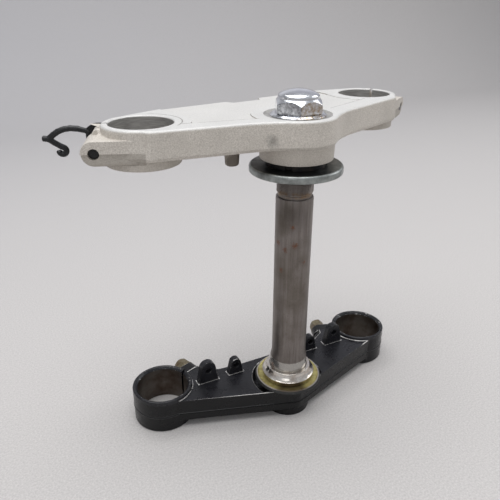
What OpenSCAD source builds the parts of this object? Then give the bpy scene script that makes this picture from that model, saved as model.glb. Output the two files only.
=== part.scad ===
/* [Fork tubes] */
// Diameter of the four fork tube bores
fork_d = 41; // [37:0.5:43]
// Distance between the two fork tubes
fork_spacing = 196.7; // [190:0.1:206]
// Distance of the fork tubes ahead of the steering axis
fork_offset = 34.6; // [32:0.1:38]

/* [Lower clamp] */
// Height of the lower clamp's fork rings
lower_ring_h = 29.5; // [28:0.5:34]
// Wall of the lower fork rings
lower_ring_wall = 3.8; // [3.2:0.1:4.6]
// Chamfer at the mouth of the lower fork bores
lower_bore_chamfer = 1.75; // [0.5:0.25:2.25]
// Step from the ring's top down to the arms
lower_step = 3; // [2:0.5:5]
// Thickness of the lower arms
lower_arm_t = 19.5; // [16:0.5:21]
// Step from the ring's front in to the arms' front face
lower_front_inset = 3; // [1.5:0.5:4]
// Distance from the steering axis to the arms' front faces
lower_nose_depth = 18.85; // [17:0.05:20]
// Radius of the front corner where the two arms meet
lower_nose_r = 9; // [6:0.5:12]
// Distance from the steering axis to the arms' back edge
lower_back = 33; // [32:0.5:38]
// Radius of the recess round the stem
lower_recess_r = 29.6; // [28.5:0.1:31]
// Depth of the recess round the stem
lower_recess_depth = 8.5; // [6:0.5:11]
// Radius of the boss that holds the stem
lower_boss_r = 18.4; // [17.5:0.1:18.8]

/* [Lower lugs] */
// Distance of the big lugs from the middle
big_lug_x = 62.2; // [61:0.1:64]
// Height of the big lugs over the arms
big_lug_h = 19; // [16:0.2:24]
// Distance of the small lugs from the middle
small_lug_x = 37; // [36:0.1:40]
// Height of the small lugs over the arms
small_lug_h = 14.4; // [13:0.2:20]
// Distance of the lugs' front faces ahead of the steering axis
lug_front = 22.6; // [20:0.2:24]
// Thickness of the lugs
lug_t = 6; // [5:0.5:9]
// Diameter of the threaded holes in the lugs
lug_hole_d = 5; // [4:0.5:6.5]

/* [Steering stem] */
// Diameter of the stem
stem_d = 27.4; // [26.8:0.1:28]
// Diameter of the stem's bearing seat
seat_d = 30; // [29:0.5:31]
// Diameter of the hole through the stem
stem_bore_d = 17; // [12:0.5:18]
// Height of the seat's upper end
seat_top = 48.5; // [46:0.5:54]
// Height where the upper thread starts
thread_start = 189.5; // [184:0.5:194]
// Diameter of the adjuster nut's thread
adjuster_thread_d = 26; // [25:0.5:26.5]
// Diameter of the top nut's thread
top_thread_d = 22; // [20:0.5:23]

/* [Bearing race and seal] */
// Widest diameter of the lower bearing race
race_d = 42; // [40:0.5:44]
// Height of the lower bearing race
race_h = 10.6; // [9:0.2:12]
// Diameter of the seal's steel shell
seal_d = 52.2; // [50:0.2:54]
// Thickness of the seal's steel shell
seal_t = 1.2; // [0.8:0.1:1.6]
// Width of the seal's rubber lip
seal_lip_w = 1.1; // [0.8:0.1:1.4]

/* [Top clamp] */
// Height of the top clamp's boss over the lower clamp's foot
top_boss_z = 216.2; // [212:0.2:224]
// Height of the top clamp from its boss to the rings' rim
top_h = 29.6; // [28:0.2:34]
// Thickness of the top clamp's arms
top_arm_t = 18.8; // [17:0.2:20]
// Wall of the top fork rings
top_ring_wall = 4.8; // [4:0.1:5.5]
// Step from the ring's front out to the arms' front face
top_front_step = 3.1; // [2:0.1:4]
// Angle by which the arms' front edges sweep back
top_sweep = 13.8; // [12:0.1:15]
// Radius of the stem boss at the rim
top_boss_r = 27.2; // [26.5:0.1:28]
// Draft of the casting's walls, as a growth of their radius down the arms
top_draft = 0.8; // [0.4:0.1:1.2]
// Distance from the steering axis to the top clamp's back edge
top_back = 67; // [65:0.5:70]
// Turn of the top clamp on the stem, as the photographed one stands
top_twist = 8.35; // [0:0.05:12]
// Depth of the sunk panel in the top face
panel_depth = 0.7; // [0.4:0.1:1]
// Radius of the machined spot face round the nut
spot_r = 23.4; // [22:0.1:24]

/* [Clamp slits and bolts] */
// Width of the clamp slits
slit_w = 2.1; // [1.5:0.1:3]
// Angle of the lower slits behind the line of the forks
lower_slit_angle = 20; // [18:0.5:22]
// Angle of the top slits behind the line of the forks
top_slit_angle = 27.5; // [26:0.5:29]
// Diameter of the pinch bolts
bolt_d = 8; // [7:0.5:8.5]
// Size of the bolt heads across their flats
bolt_af = 12; // [11:0.5:13]
// Height of the top bolts' heads
bolt_head_h = 6.5; // [5:0.5:8]

/* [Nuts and washers] */
// Size of the stem nut across its flats
nut_af = 30; // [28:0.5:32]
// Height of the stem nut
nut_h = 15.4; // [14:0.2:18]
// Diameter of the washer under the stem nut
washer_d = 38.7; // [36:0.1:42]
// Thickness of the washer under the stem nut
washer_t = 2; // [1.5:0.1:3]
// Diameter of the dust cover under the top clamp
cover_d = 66.2; // [60:0.2:68]
// Height of the dust cover
cover_h = 5.3; // [4:0.1:7]
// Gap between the dust cover and the top clamp's boss
cover_gap = 4.6; // [3:0.1:6]
// Diameter of the adjuster nut and the lock nut
ring_nut_d = 43; // [41:0.5:45]
// Thickness of the lock nut
lock_nut_h = 6.5; // [5:0.5:8]

/* [Cable guide] */
// Diameter of the guide's rod
rod_d = 3.9; // [3:0.1:4.5]
// Thickness of the guide's eye
eye_t = 2.4; // [2:0.1:3]

/* [Hidden] */
$fn = 96;
over = 1;

fork_r = fork_d / 2;
fork = [fork_spacing / 2, fork_offset];
stem_r = stem_d / 2;
seat_r = seat_d / 2;
bolt_r = bolt_d / 2;
core_r = bolt_r - 0.6;
clearance_r = bolt_r + 0.3;
slit_half = slit_w / 2;

lower_ring_r = fork_r + lower_ring_wall;
lower_arm_top = lower_ring_h - lower_step;
lower_arm_bottom = lower_arm_top - lower_arm_t;
lower_front_r = lower_ring_r - lower_front_inset;
lower_front_wall = 1.6;
parting_z = 14.2;
parting_w = 0.7;
parting_h = 0.25;
lower_bolt_u = fork_r + 14.5;
lower_bolt_z = lower_arm_top - 9;
lower_pinch_r = 7.2;
lower_pinch_back = 10.5;
lower_pinch_front = 14;
lower_bolt_len = 23;
lower_flange_r = 7.4;
lower_head_h = 10.5;

seal_z = lower_ring_h + 0.1;
race_z = seal_z + seal_t;
seal_r = seal_d / 2;
race_r = race_d / 2;
recess_floor = lower_arm_top - lower_recess_depth;
lug_flare = 1;
lug_hole_floor = 1.5;

top_rim = top_boss_z + top_h;
top_arm_z = top_rim - top_arm_t;
top_ring_boss_z = top_arm_z - 6.5;
top_ring_r = fork_r + top_ring_wall;
edge_round = 2;
edge_bevel = 2.2;
blend_r = 75;
back_x = 72;
front_normal = [sin(top_sweep), -cos(top_sweep)];
front_along = [cos(top_sweep), sin(top_sweep)];
ring_steps = 24;

ear_u = fork_r + 7.1;
ear_r = 7.7;
ear_z = top_rim - 13.3;
ear_step = 0.8;
ear_step_u = 2;
ear_block = 7;
ear_block_z = top_rim - 2.6;
ear_crest_r = 4;
ear_crest_u = ear_u - 1.5;
rear_ear_u = ear_u - 2;
ear_front = top_ring_r - 0.2;
ear_back = 10.6;
ear_bolt_len = 35;
ear_flange_r = 7.5;
ear_spot_r = ear_flange_r + 0.4;

boss_rim_r = top_boss_r - 1.4;
boss_draft = 0.4;
boss_h = top_arm_z - top_boss_z + over;
ring_ledge = 1;
ring_boss_h = top_arm_z - top_ring_boss_z + edge_bevel;
peg = [-47, 10];
peg_r = 5.1;
peg_h = 11.7;
spot_z = top_rim - 1;
counterbore = 8;
counterbore_r = ring_nut_d / 2 + 1.5;
cover_top = top_boss_z - cover_gap;
cover_t = 1.6;
neck_r = 17;
neck_drop = 8;
lock_nut_z = top_boss_z + counterbore - lock_nut_h;
lock_washer_t = 1;
adjuster_top = lock_nut_z - lock_washer_t;
notch_w = 5;
notch_d = 2.6;
nut_z = spot_z + washer_t;
nut_turn = 5;
stem_top = nut_z + nut_h - 4.8;

function arc(centre, r, from, to, steps) =
    [for (i = [0:steps]) let (a = from + (to - from) * i / steps) centre + r * [cos(a), sin(a)]];

// Direction of the outer tangent's normal, from circle a to circle b, on the right side of travel.
function tangent_normal(a, ra, b, rb) =
    atan2((b - a)[1], (b - a)[0]) - acos((ra - rb) / norm(b - a));

function mirrored(points) = [for (i = [len(points) - 1:-1:0]) [-points[i][0], points[i][1]]];

module both_sides() {
    children();
    mirror([1, 0, 0]) children();
}

// The slit's own frame at the right lower ring: X along the slit, Y out of the arm's back.
module lower_slit_frame() {
    translate([fork[0], fork[1], 0])
        rotate([0, 0, 180 - lower_slit_angle])
            mirror([0, 1, 0])
                children();
}

// The same at the right top ring, and at the left one of the clamp as it stands on the stem.
module top_slit_frame() {
    translate([fork[0], fork[1], 0])
        rotate([0, 0, top_slit_angle])
            children();
}

module top_left_slit_frame() {
    rotate([0, 0, top_twist])
        mirror([1, 0, 0])
            top_slit_frame()
                children();
}

// Lays a rod or hole that starts at z = 0 and points up along the slit frame's Y.
module along_y(x, y, z) {
    translate([x, y, z])
        rotate([-90, 0, 0])
            children();
}

module ring_nut(z0, z1, bore) {
    difference() {
        translate([0, 0, z0]) cylinder(r = ring_nut_d / 2, h = z1 - z0);
        translate([0, 0, z0 - over]) cylinder(r = bore, h = z1 - z0 + 2 * over);
        for (i = [0:3])
            rotate([0, 0, 45 + 90 * i])
                translate([ring_nut_d / 2 - notch_d, -notch_w / 2, z0 - over])
                    cube([notch_d + over, notch_w, z1 - z0 + 2 * over]);
    }
}

// Lower clamp: one casting with two fork rings, two arms and the boss that holds the stem.
lower_front_normal = tangent_normal([0, 0], lower_nose_depth, fork, lower_front_r);
lower_nose = [0, (lower_nose_depth - lower_nose_r) / sin(lower_front_normal)];
lower_slit_dir = [-cos(lower_slit_angle), sin(lower_slit_angle)];
lower_back_dir = [sin(lower_slit_angle), cos(lower_slit_angle)];

function lower_arm_right(proud) = concat(
    arc(lower_nose, lower_nose_r + proud, -90, lower_front_normal, 4),
    [
        fork + (lower_front_r + proud) * [cos(lower_front_normal), sin(lower_front_normal)],
        fork,
        fork + (lower_bolt_u + 3) * lower_slit_dir,
        fork + (lower_bolt_u + 3) * lower_slit_dir - 6 * lower_back_dir,
        [fork[0] / 2, lower_back + 2],
        [fork[0] * 0.3, lower_back]
    ]
);

module lower_arm_slab(z, h, proud) {
    right = lower_arm_right(proud);
    translate([0, 0, z])
        linear_extrude(h)
            polygon(concat(right, mirrored([for (i = [1:len(right) - 1]) right[i]])));
}

module lower_arms() {
    lower_arm_slab(lower_arm_bottom, lower_arm_t, 0);
    lower_arm_slab(parting_z - parting_w / 2, parting_w, parting_h);
}

// The recess round the stem stops short of the arms' front faces, which stay whole.
module lower_recess() {
    tip = (lower_nose_depth - lower_front_wall) / sin(lower_front_normal);
    reach = 2 * lower_recess_r;
    side = tip - reach / tan(lower_front_normal);
    translate([0, 0, recess_floor])
        intersection() {
            cylinder(r = lower_recess_r, h = lower_recess_depth + over);
            linear_extrude(lower_recess_depth + over)
                polygon([[0, tip], [reach, side], [reach, reach], [-reach, reach], [-reach, side]]);
        }
}

module lower_ring() {
    rotate_extrude()
        polygon(concat(
            [[0, 0], [lower_ring_r - 1.5, 0]],
            arc([lower_ring_r - 1.5, 1.5], 1.5, -60, 0, 3),
            [
                [lower_ring_r, parting_z - parting_w],
                [lower_ring_r + parting_h, parting_z - parting_w / 2],
                [lower_ring_r + parting_h, parting_z + parting_w / 2],
                [lower_ring_r, parting_z + parting_w]
            ],
            arc([lower_ring_r - 1, lower_ring_h - 1], 1, 0, 90, 4),
            [[0, lower_ring_h]]
        ));
}

module lower_pinch_lugs() {
    along_y(lower_bolt_u, slit_half, lower_bolt_z)
        cylinder(r = lower_pinch_r, h = lower_pinch_back - slit_half);
    along_y(lower_bolt_u, -lower_pinch_front, lower_bolt_z)
        cylinder(r = lower_pinch_r, h = lower_pinch_front - slit_half);
    translate([fork_r - 4, slit_half, lower_bolt_z - lower_pinch_r])
        cube([lower_bolt_u - fork_r + 4, lower_pinch_back - slit_half, 2 * lower_pinch_r]);
}

module bracket_lug(x, top_h, half_w, top_r) {
    base = lower_arm_top - over;
    top = lower_arm_top + top_h;
    difference() {
        translate([x, lug_front + lug_t, 0])
            rotate([90, 0, 0])
                linear_extrude(lug_t)
                    polygon(concat(
                        [[-half_w - lug_flare, base], [half_w + lug_flare, base]],
                        [[half_w, base + 3 * lug_flare]],
                        arc([0, top - top_r], top_r, 8, 172, 10),
                        [[-half_w, base + 3 * lug_flare]]
                    ));
        along_y(x, lug_front - over, top - top_r - 1.5)
            cylinder(d = lug_hole_d, h = lug_t - lug_hole_floor + over);
    }
}

module lower_clamp() {
    mouth = lower_bore_chamfer + over;
    color([0.17, 0.17, 0.18])
        difference() {
            union() {
                difference() {
                    lower_arms();
                    lower_recess();
                }
                cylinder(r = lower_boss_r, h = seal_z);
                both_sides() {
                    translate([fork[0], fork[1], 0]) lower_ring();
                    lower_slit_frame() lower_pinch_lugs();
                    bracket_lug(big_lug_x, big_lug_h, 8.4, 6.5);
                    bracket_lug(small_lug_x, small_lug_h, 6.2, 4.4);
                }
            }
            translate([0, 0, -over]) cylinder(r = seat_r, h = seal_z + 2 * over);
            both_sides() {
                translate([fork[0], fork[1], -over])
                    cylinder(r = fork_r, h = lower_ring_h + 2 * over);
                translate([fork[0], fork[1], lower_ring_h - lower_bore_chamfer])
                    cylinder(r1 = fork_r, r2 = fork_r + mouth, h = mouth);
                lower_slit_frame() {
                    translate([0, -slit_half, -over])
                        cube([lower_bolt_u + 2 * lower_pinch_r, slit_w, lower_ring_h + 2 * over]);
                    along_y(lower_bolt_u, 0, lower_bolt_z)
                        cylinder(r = clearance_r, h = lower_pinch_back + over);
                    along_y(lower_bolt_u, lower_pinch_back - lower_bolt_len, lower_bolt_z)
                        cylinder(r = core_r, h = lower_bolt_len);
                }
            }
        }
}

// Steering stem: a turned steel tube, pressed into the lower clamp from below.
module steering_stem() {
    undercut = 0.7;
    color([0.43, 0.39, 0.37])
        difference() {
            rotate_extrude()
                polygon([
                    [0, 0], [seat_r - 0.8, 0], [seat_r, 0.8], [seat_r, seat_top],
                    [seat_r - 0.5, seat_top + 1.8], [stem_r + 0.3, seat_top + 5], [stem_r, seat_top + 7.5],
                    [stem_r, thread_start - 2.5], [stem_r - 0.4, thread_start - 1.5],
                    [adjuster_thread_d / 2 - undercut, thread_start - 1.5],
                    [adjuster_thread_d / 2 - undercut, thread_start + 0.8],
                    [adjuster_thread_d / 2, thread_start + 1.5],
                    [adjuster_thread_d / 2, top_boss_z + counterbore],
                    [top_thread_d / 2, top_boss_z + counterbore],
                    [top_thread_d / 2, stem_top - 1.2], [top_thread_d / 2 - 1.2, stem_top], [0, stem_top]
                ]);
            translate([0, 0, -over]) cylinder(d = stem_bore_d, h = stem_top - 8 + over);
        }
}

// Inner race of the lower angular contact bearing: its ball track faces up and out.
module lower_bearing_race() {
    track_r = 7.4;
    lip_r = seat_r + 3;
    wide_z = race_z + race_h - 5.6;
    shoulder_z = race_z + race_h - 1;
    color([0.75, 0.74, 0.73])
        rotate_extrude()
            polygon(concat(
                [[seat_r, race_z], [race_r - 1.6, race_z], [race_r - 0.4, race_z + 1.2], [race_r, wide_z]],
                arc([lip_r + track_r, shoulder_z + 1.2], track_r, 237, 188, 6),
                [[lip_r - 0.4, race_z + race_h], [seat_r + 0.5, race_z + race_h],
                    [seat_r, race_z + race_h - 0.5]]
            ));
}

// Dust seal under the race: a flat steel ring with a turned-up rim, and a rubber lip round it.
module lower_seal_shell() {
    color([0.70, 0.66, 0.40])
        rotate_extrude()
            polygon([
                [seat_r, seal_z], [seal_r - 0.6, seal_z], [seal_r, seal_z + 0.6],
                [seal_r, seal_z + seal_t + 0.6], [seal_r - 0.9, seal_z + seal_t + 0.6],
                [seal_r - 1.8, seal_z + seal_t], [seat_r, seal_z + seal_t]
            ]);
}

module lower_seal_lip() {
    color([0.10, 0.10, 0.10])
        rotate_extrude()
            polygon([
                [seal_r, seal_z + 0.6], [seal_r + 0.2, seal_z - 0.4], [seal_r + seal_lip_w, seal_z - 0.6],
                [seal_r + seal_lip_w + 0.1, seal_z + 0.3], [seal_r + seal_lip_w * 0.5, seal_z + seal_t],
                [seal_r, seal_z + seal_t + 0.1]
            ]);
}

// Flanged hexagon bolt: its head sits on z = 0 and its thread is drawn at core size.
module flange_bolt(len, plain, flange_r, head_h) {
    flange_t = 0.22 * head_h;
    chamfer = 1;
    translate([0, 0, -len]) cylinder(r = core_r, h = len);
    translate([0, 0, -plain]) cylinder(r = bolt_r, h = plain);
    cylinder(r1 = flange_r, r2 = flange_r - 0.6, h = flange_t);
    intersection() {
        cylinder(r = bolt_af / 2 / cos(30), h = head_h, $fn = 6);
        rotate_extrude()
            polygon([
                [0, 0], [bolt_af, 0], [bolt_af / 2 / cos(30) + 0.1, head_h - chamfer],
                [bolt_af / 2 - 0.3, head_h], [0, head_h]
            ]);
    }
}

module lower_pinch_bolt() {
    lower_slit_frame()
        along_y(lower_bolt_u, lower_pinch_back, lower_bolt_z)
            rotate([0, 0, 15])
                flange_bolt(lower_bolt_len, lower_pinch_back + slit_half, lower_flange_r, lower_head_h);
}

module lower_pinch_bolt_left() {
    color([0.45, 0.42, 0.32])
        mirror([1, 0, 0]) lower_pinch_bolt();
}

module lower_pinch_bolt_right() {
    color([0.50, 0.44, 0.34])
        lower_pinch_bolt();
}

// Stack under the top clamp: dust cover, adjuster nut, lock washer and lock nut.
module dust_cover() {
    r = cover_d / 2;
    bottom = cover_top - cover_h;
    color([0.60, 0.63, 0.64])
        rotate_extrude()
            polygon(concat(
                [[neck_r, cover_top - cover_t], [r - 2.6, cover_top - cover_t]],
                [[r - cover_t, cover_top - cover_t - 1], [r - cover_t, bottom], [r - 0.5, bottom]],
                [[r, bottom + 0.5]],
                arc([r - 2, cover_top - 2], 2, 0, 90, 5),
                [[neck_r, cover_top]]
            ));
}

module adjuster_nut() {
    color([0.16, 0.16, 0.17]) {
        ring_nut(cover_top, adjuster_top, adjuster_thread_d / 2);
        difference() {
            translate([0, 0, cover_top - neck_drop])
                cylinder(r = neck_r, h = neck_drop + over);
            translate([0, 0, cover_top - neck_drop - over])
                cylinder(d = adjuster_thread_d, h = neck_drop + 3 * over);
        }
    }
}

module lock_washer() {
    tab = 3;
    color([0.30, 0.30, 0.31])
        difference() {
            union() {
                translate([0, 0, adjuster_top])
                    cylinder(r = ring_nut_d / 2 - notch_d, h = lock_washer_t);
                for (i = [0, 2])
                    rotate([0, 0, 45 + 90 * i])
                        translate([0, -notch_w / 2 + 0.3, adjuster_top])
                            cube([ring_nut_d / 2 - 0.6, notch_w - 0.6, lock_washer_t]);
                for (i = [0, 2])
                    rotate([0, 0, 45 + 90 * i])
                        translate([ring_nut_d / 2 - 1.6, -notch_w / 2 + 0.3, adjuster_top - tab])
                            cube([1, notch_w - 0.6, tab + lock_washer_t]);
            }
            translate([0, 0, adjuster_top - over])
                cylinder(d = adjuster_thread_d, h = lock_washer_t + 2 * over);
        }
}

module lock_nut() {
    color([0.18, 0.18, 0.19])
        ring_nut(lock_nut_z, lock_nut_z + lock_nut_h, adjuster_thread_d / 2);
}

// Top clamp: one casting, lofted up through a lower bevel, drafted walls and a rounded rim.
front_d = front_normal * fork + top_ring_r + top_front_step;
front_corner_r = 4.5;
front_end = front_normal * (front_d - front_corner_r) + front_along * (front_along * fork);

function top_outline_right(inset) =
    let (
        boss = top_boss_r - inset,
        ring = top_ring_r - inset,
        blend = blend_r + inset,
        along = sqrt(pow(top_boss_r + blend_r, 2) - pow(front_d + blend_r, 2)),
        centre = front_normal * (front_d + blend_r) + front_along * along,
        to_boss = atan2(-centre[1], -centre[0]),
        corner = [back_x, top_back - inset],
        reach = corner - fork,
        back_angle = atan2(reach[1], reach[0]) - acos(ring / norm(reach))
    )
    concat(
        arc([0, 0], boss, -90, to_boss - 180, 8),
        arc(centre, blend, to_boss - 2, 90 + top_sweep, 10),
        arc(front_end, front_corner_r - inset, top_sweep - 90, top_sweep - 42, 4),
        arc(fork, ring, top_slit_angle - 88, back_angle, ring_steps),
        [corner]
    );

function top_outline(inset) =
    let (right = top_outline_right(inset))
    concat(right, mirrored([for (i = [1:len(right) - 1]) right[i]]));

// A flat end of the loft, as fans round the axes of the stem and the two forks.
function fan_end(first, centres, right_n, back_n, n) =
    let (
        stem = centres,
        right = centres + 1,
        left = centres + 2,
        ring = right_n - back_n,
        corner = right_n - 1
    )
    concat(
        [for (i = [0:ring - 1]) [stem, first + i, first + i + 1]],
        [for (i = [ring:corner - 1]) [right, first + i, first + i + 1]],
        [[stem, first + ring, right], [stem, right, first + corner]],
        [[stem, first + corner, first + corner + 1]],
        [for (i = [corner + 1:n - ring - 1]) [left, first + i, first + i + 1]],
        [[stem, left, first + n - ring], [stem, first + corner + 1, left]],
        [for (i = [n - ring:n - 1]) [stem, first + i, first + (i + 1) % n]]
    );

function flipped(faces) = [for (f = faces) [f[0], f[2], f[1]]];

module loft(levels) {
    rings = [for (level = levels) top_outline(level[1])];
    n = len(rings[0]);
    last = len(levels) - 1;
    right_n = len(top_outline_right(0));
    points = concat(
        [for (k = [0:last]) for (p = rings[k]) [p[0], p[1], levels[k][0]]],
        [
            for (z = [levels[0][0], levels[last][0]]) for (x = [0, fork[0], -fork[0]])
                [x, x == 0 ? 0 : fork[1], z]
        ]
    );
    sides = [
        for (k = [0:last - 1]) for (i = [0:n - 1])
            let (j = (i + 1) % n)
            [k * n + i, (k + 1) * n + i, (k + 1) * n + j, k * n + j]
    ];
    bottom = fan_end(0, (last + 1) * n, right_n, ring_steps + 2, n);
    top = flipped(fan_end(last * n, (last + 1) * n + 3, right_n, ring_steps + 2, n));
    polyhedron(points = points, faces = concat(bottom, sides, top), convexity = 6);
}

module top_body() {
    loft([
        [top_arm_z, edge_bevel * 0.3],
        [top_arm_z + edge_bevel, -top_draft],
        [top_rim - edge_round, 0],
        [top_rim - edge_round * 0.5, edge_round * 0.13],
        [top_rim - edge_round * 0.13, edge_round * 0.5],
        [top_rim, edge_round]
    ]);
}

// Ears of the right fork clamp, in the slit's frame: a long one in front and a short one behind.
// Below the parting line the front ear is cast a little smaller, and both stand taller by the slit.
module front_ear(shrink, from_u) {
    front = ear_front - shrink;
    along_y(ear_u, -front, ear_z)
        cylinder(r = ear_r - shrink / 2, h = front - slit_half);
    translate([from_u, -front, ear_z - ear_r + shrink / 2])
        cube([ear_u - from_u, front - slit_half, 2 * ear_r - shrink]);
}

module ear_wedge(length, profile) {
    rotate([90, 0, 90]) linear_extrude(length) polygon(profile);
}

module top_ears() {
    top = ear_z + ear_r;
    front_ear(ear_step, ear_step_u);
    difference() {
        front_ear(0, 0);
        translate([-over, -2 * top_ring_r, ear_z - 2 * ear_r])
            cube([3 * top_ring_r, 3 * top_ring_r, 2 * ear_r]);
    }
    ear_wedge(ear_crest_u, [
        [-ear_front + 2, ear_z], [-ear_front + 2, top - 0.4], [-ear_block - 1, top + 0.8],
        [-ear_block, ear_block_z], [-slit_half, ear_block_z], [-slit_half, ear_z]
    ]);
    along_y(ear_crest_u, -ear_block, ear_block_z - ear_crest_r)
        cylinder(r = ear_crest_r, h = ear_block - slit_half);
    along_y(rear_ear_u, slit_half, ear_z)
        cylinder(r = ear_r, h = ear_back - slit_half);
    ear_wedge(rear_ear_u, [
        [slit_half, ear_z - ear_r], [slit_half, ear_z], [ear_back, ear_z], [ear_back, ear_z - ear_r]
    ]);
    ear_wedge(ear_crest_u, [
        [slit_half, ear_z], [slit_half, ear_block_z], [ear_back - 1, ear_block_z],
        [ear_back, ear_block_z - 1], [ear_back, ear_z]
    ]);
    along_y(ear_crest_u, slit_half, ear_block_z - ear_crest_r)
        cylinder(r = ear_crest_r, h = ear_back - slit_half);
}

module top_panel() {
    bore_gap = 11;
    stem_gap = 8.6;
    side = fork[0] - fork_r - bore_gap + 2;
    front = 31;
    translate([0, 0, top_rim - panel_depth])
        linear_extrude(panel_depth + over)
            difference() {
                polygon([
                    [-side - 12, front * 0.56 - 1], [-front, 2], [front, 2], [side + 12, front * 0.56 - 1],
                    [side, fork_offset], [side + 1, top_back + over], [-side - 1, top_back + over],
                    [-side, fork_offset]
                ]);
                for (s = [-1, 1])
                    translate([s * fork[0], fork[1]]) circle(r = fork_r + bore_gap);
                circle(r = spot_r + stem_gap);
            }
}

module top_clamp() {
    notch_half = 16;
    notch_deep = 7;
    color([0.80, 0.80, 0.79])
        rotate([0, 0, top_twist])
            difference() {
                union() {
                    top_body();
                    translate([0, 0, top_boss_z])
                        cylinder(r1 = boss_rim_r, r2 = boss_rim_r + boss_draft, h = boss_h);
                    both_sides() {
                        translate([fork[0], fork[1], top_ring_boss_z])
                            cylinder(r = top_ring_r - ring_ledge, h = ring_boss_h);
                        top_slit_frame() top_ears();
                    }
                    translate([peg[0], peg[1], top_arm_z - peg_h])
                        rotate_extrude()
                            polygon([
                                [0, 0], [peg_r - 1.6, 0], [peg_r - 0.6, 0.8], [peg_r - 0.4, 2],
                                [peg_r + 0.3, peg_h + over], [0, peg_h + over]
                            ]);
                }
                top_panel();
                translate([0, 0, spot_z]) cylinder(r = spot_r, h = top_h);
                cylinder(d = top_thread_d, h = top_rim + over);
                translate([0, 0, top_boss_z - over]) cylinder(r = counterbore_r, h = counterbore + over);
                translate([0, 0, top_arm_z - over])
                    linear_extrude(top_arm_t + 2 * over)
                        polygon([
                            [-notch_half, top_back + over], [-notch_half + 4, top_back - notch_deep],
                            [notch_half - 4, top_back - notch_deep], [notch_half, top_back + over]
                        ]);
                both_sides() {
                    translate([fork[0], fork[1], top_ring_boss_z - over])
                        cylinder(r = fork_r, h = top_h);
                    translate([fork[0], fork[1], top_rim - 0.7])
                        cylinder(r1 = fork_r, r2 = fork_r + 1.7, h = 1.7);
                    top_slit_frame() {
                        translate([0, -slit_half, top_ring_boss_z - over])
                            cube([2 * top_ring_r, slit_w, top_h]);
                        along_y(ear_u, 0, ear_z) cylinder(r = clearance_r, h = 2 * ear_back);
                        along_y(ear_u, ear_back, ear_z) cylinder(r = ear_spot_r, h = ear_back);
                        along_y(ear_u, -2 * top_ring_r, ear_z) cylinder(r = core_r, h = 2 * top_ring_r);
                    }
                }
            }
}

module stem_washer() {
    color([0.78, 0.79, 0.80])
        rotate_extrude()
            polygon([
                [top_thread_d / 2, spot_z], [washer_d / 2, spot_z], [washer_d / 2, spot_z + 0.8],
                [washer_d / 2 - 2, nut_z], [top_thread_d / 2, nut_z]
            ]);
}

// Closed stem nut: a chamfered hexagon that runs up into a shallow dome.
module stem_nut() {
    corner_r = nut_af / 2 / cos(30);
    collar_r = nut_af / 2 - 1;
    dome_h = 3.6;
    dome_r = (pow(collar_r, 2) + pow(dome_h, 2)) / 2 / dome_h;
    dome_half = asin(collar_r / dome_r);
    hex_h = nut_h * 0.6;
    color([0.80, 0.82, 0.85])
        difference() {
            translate([0, 0, nut_z])
                intersection() {
                    union() {
                        rotate([0, 0, nut_turn]) cylinder(r = corner_r, h = hex_h, $fn = 6);
                        cylinder(r = collar_r, h = nut_h);
                    }
                    rotate_extrude()
                        polygon(concat(
                            [[0, 0], [corner_r - 0.8, 0], [corner_r + 0.1, 0.8]],
                            [[corner_r + 0.1, hex_h - 3.6], [collar_r, hex_h + 0.3]],
                            [[collar_r, nut_h - dome_h - 0.6]],
                            arc([0, nut_h - dome_r], dome_r, 90 - dome_half + 2, 90, 8)
                        ));
                }
            translate([0, 0, nut_z - over]) cylinder(d = top_thread_d, h = stem_top - nut_z + over + 1);
        }
}

// Top pinch bolts: their heads sit behind the rear ears, and the left one holds the cable guide.
module top_pinch_bolt(under_head) {
    along_y(ear_u, ear_back + under_head, ear_z)
        flange_bolt(ear_bolt_len, ear_back + under_head + slit_half, ear_flange_r, bolt_head_h);
}

module top_pinch_bolt_left() {
    color([0.15, 0.15, 0.16])
        top_left_slit_frame() top_pinch_bolt(eye_t);
}

module top_pinch_bolt_right() {
    color([0.15, 0.15, 0.16])
        rotate([0, 0, top_twist])
            top_slit_frame() top_pinch_bolt(0);
}

// Bends of the guide's two rods: straight run, bend radius and bend angle, up is positive.
guide_start = [6.5, 5];
guide_heading = 24;
guide_bends = [[3, 20, -24], [0.4, 17.9, -40], [4, 0, 0]];
hook_start = [35.2, 1.9];
hook_heading = 190;
hook_bends = [[2, 6, 28], [2.5, 20, -11], [2.4, 2.3, 235]];

// Points and headings along a bent rod, each as [x, y, heading].
function bent(bends, x, y, heading, i = 0) =
    i == len(bends) ? [[x, y, heading]] :
    let (
        run = bends[i][0],
        r = bends[i][1],
        turn = bends[i][2],
        side = turn < 0 ? -1 : 1,
        steps = ceil(abs(turn) / 18),
        px = x + run * cos(heading),
        py = y + run * sin(heading),
        cx = px - side * r * sin(heading),
        cy = py + side * r * cos(heading),
        curve = [
            for (k = [1:1:steps - 1])
                let (h = heading + turn * k / steps)
                [cx + side * r * sin(h), cy - side * r * cos(h), h]
        ],
        last = heading + turn
    )
    concat(
        [[x, y, heading]],
        turn == 0 ? [] : concat([[px, py, heading]], curve),
        bent(bends, turn == 0 ? px : cx + side * r * sin(last), turn == 0 ? py : cy - side * r * cos(last),
            last, i + 1)
    );

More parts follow.
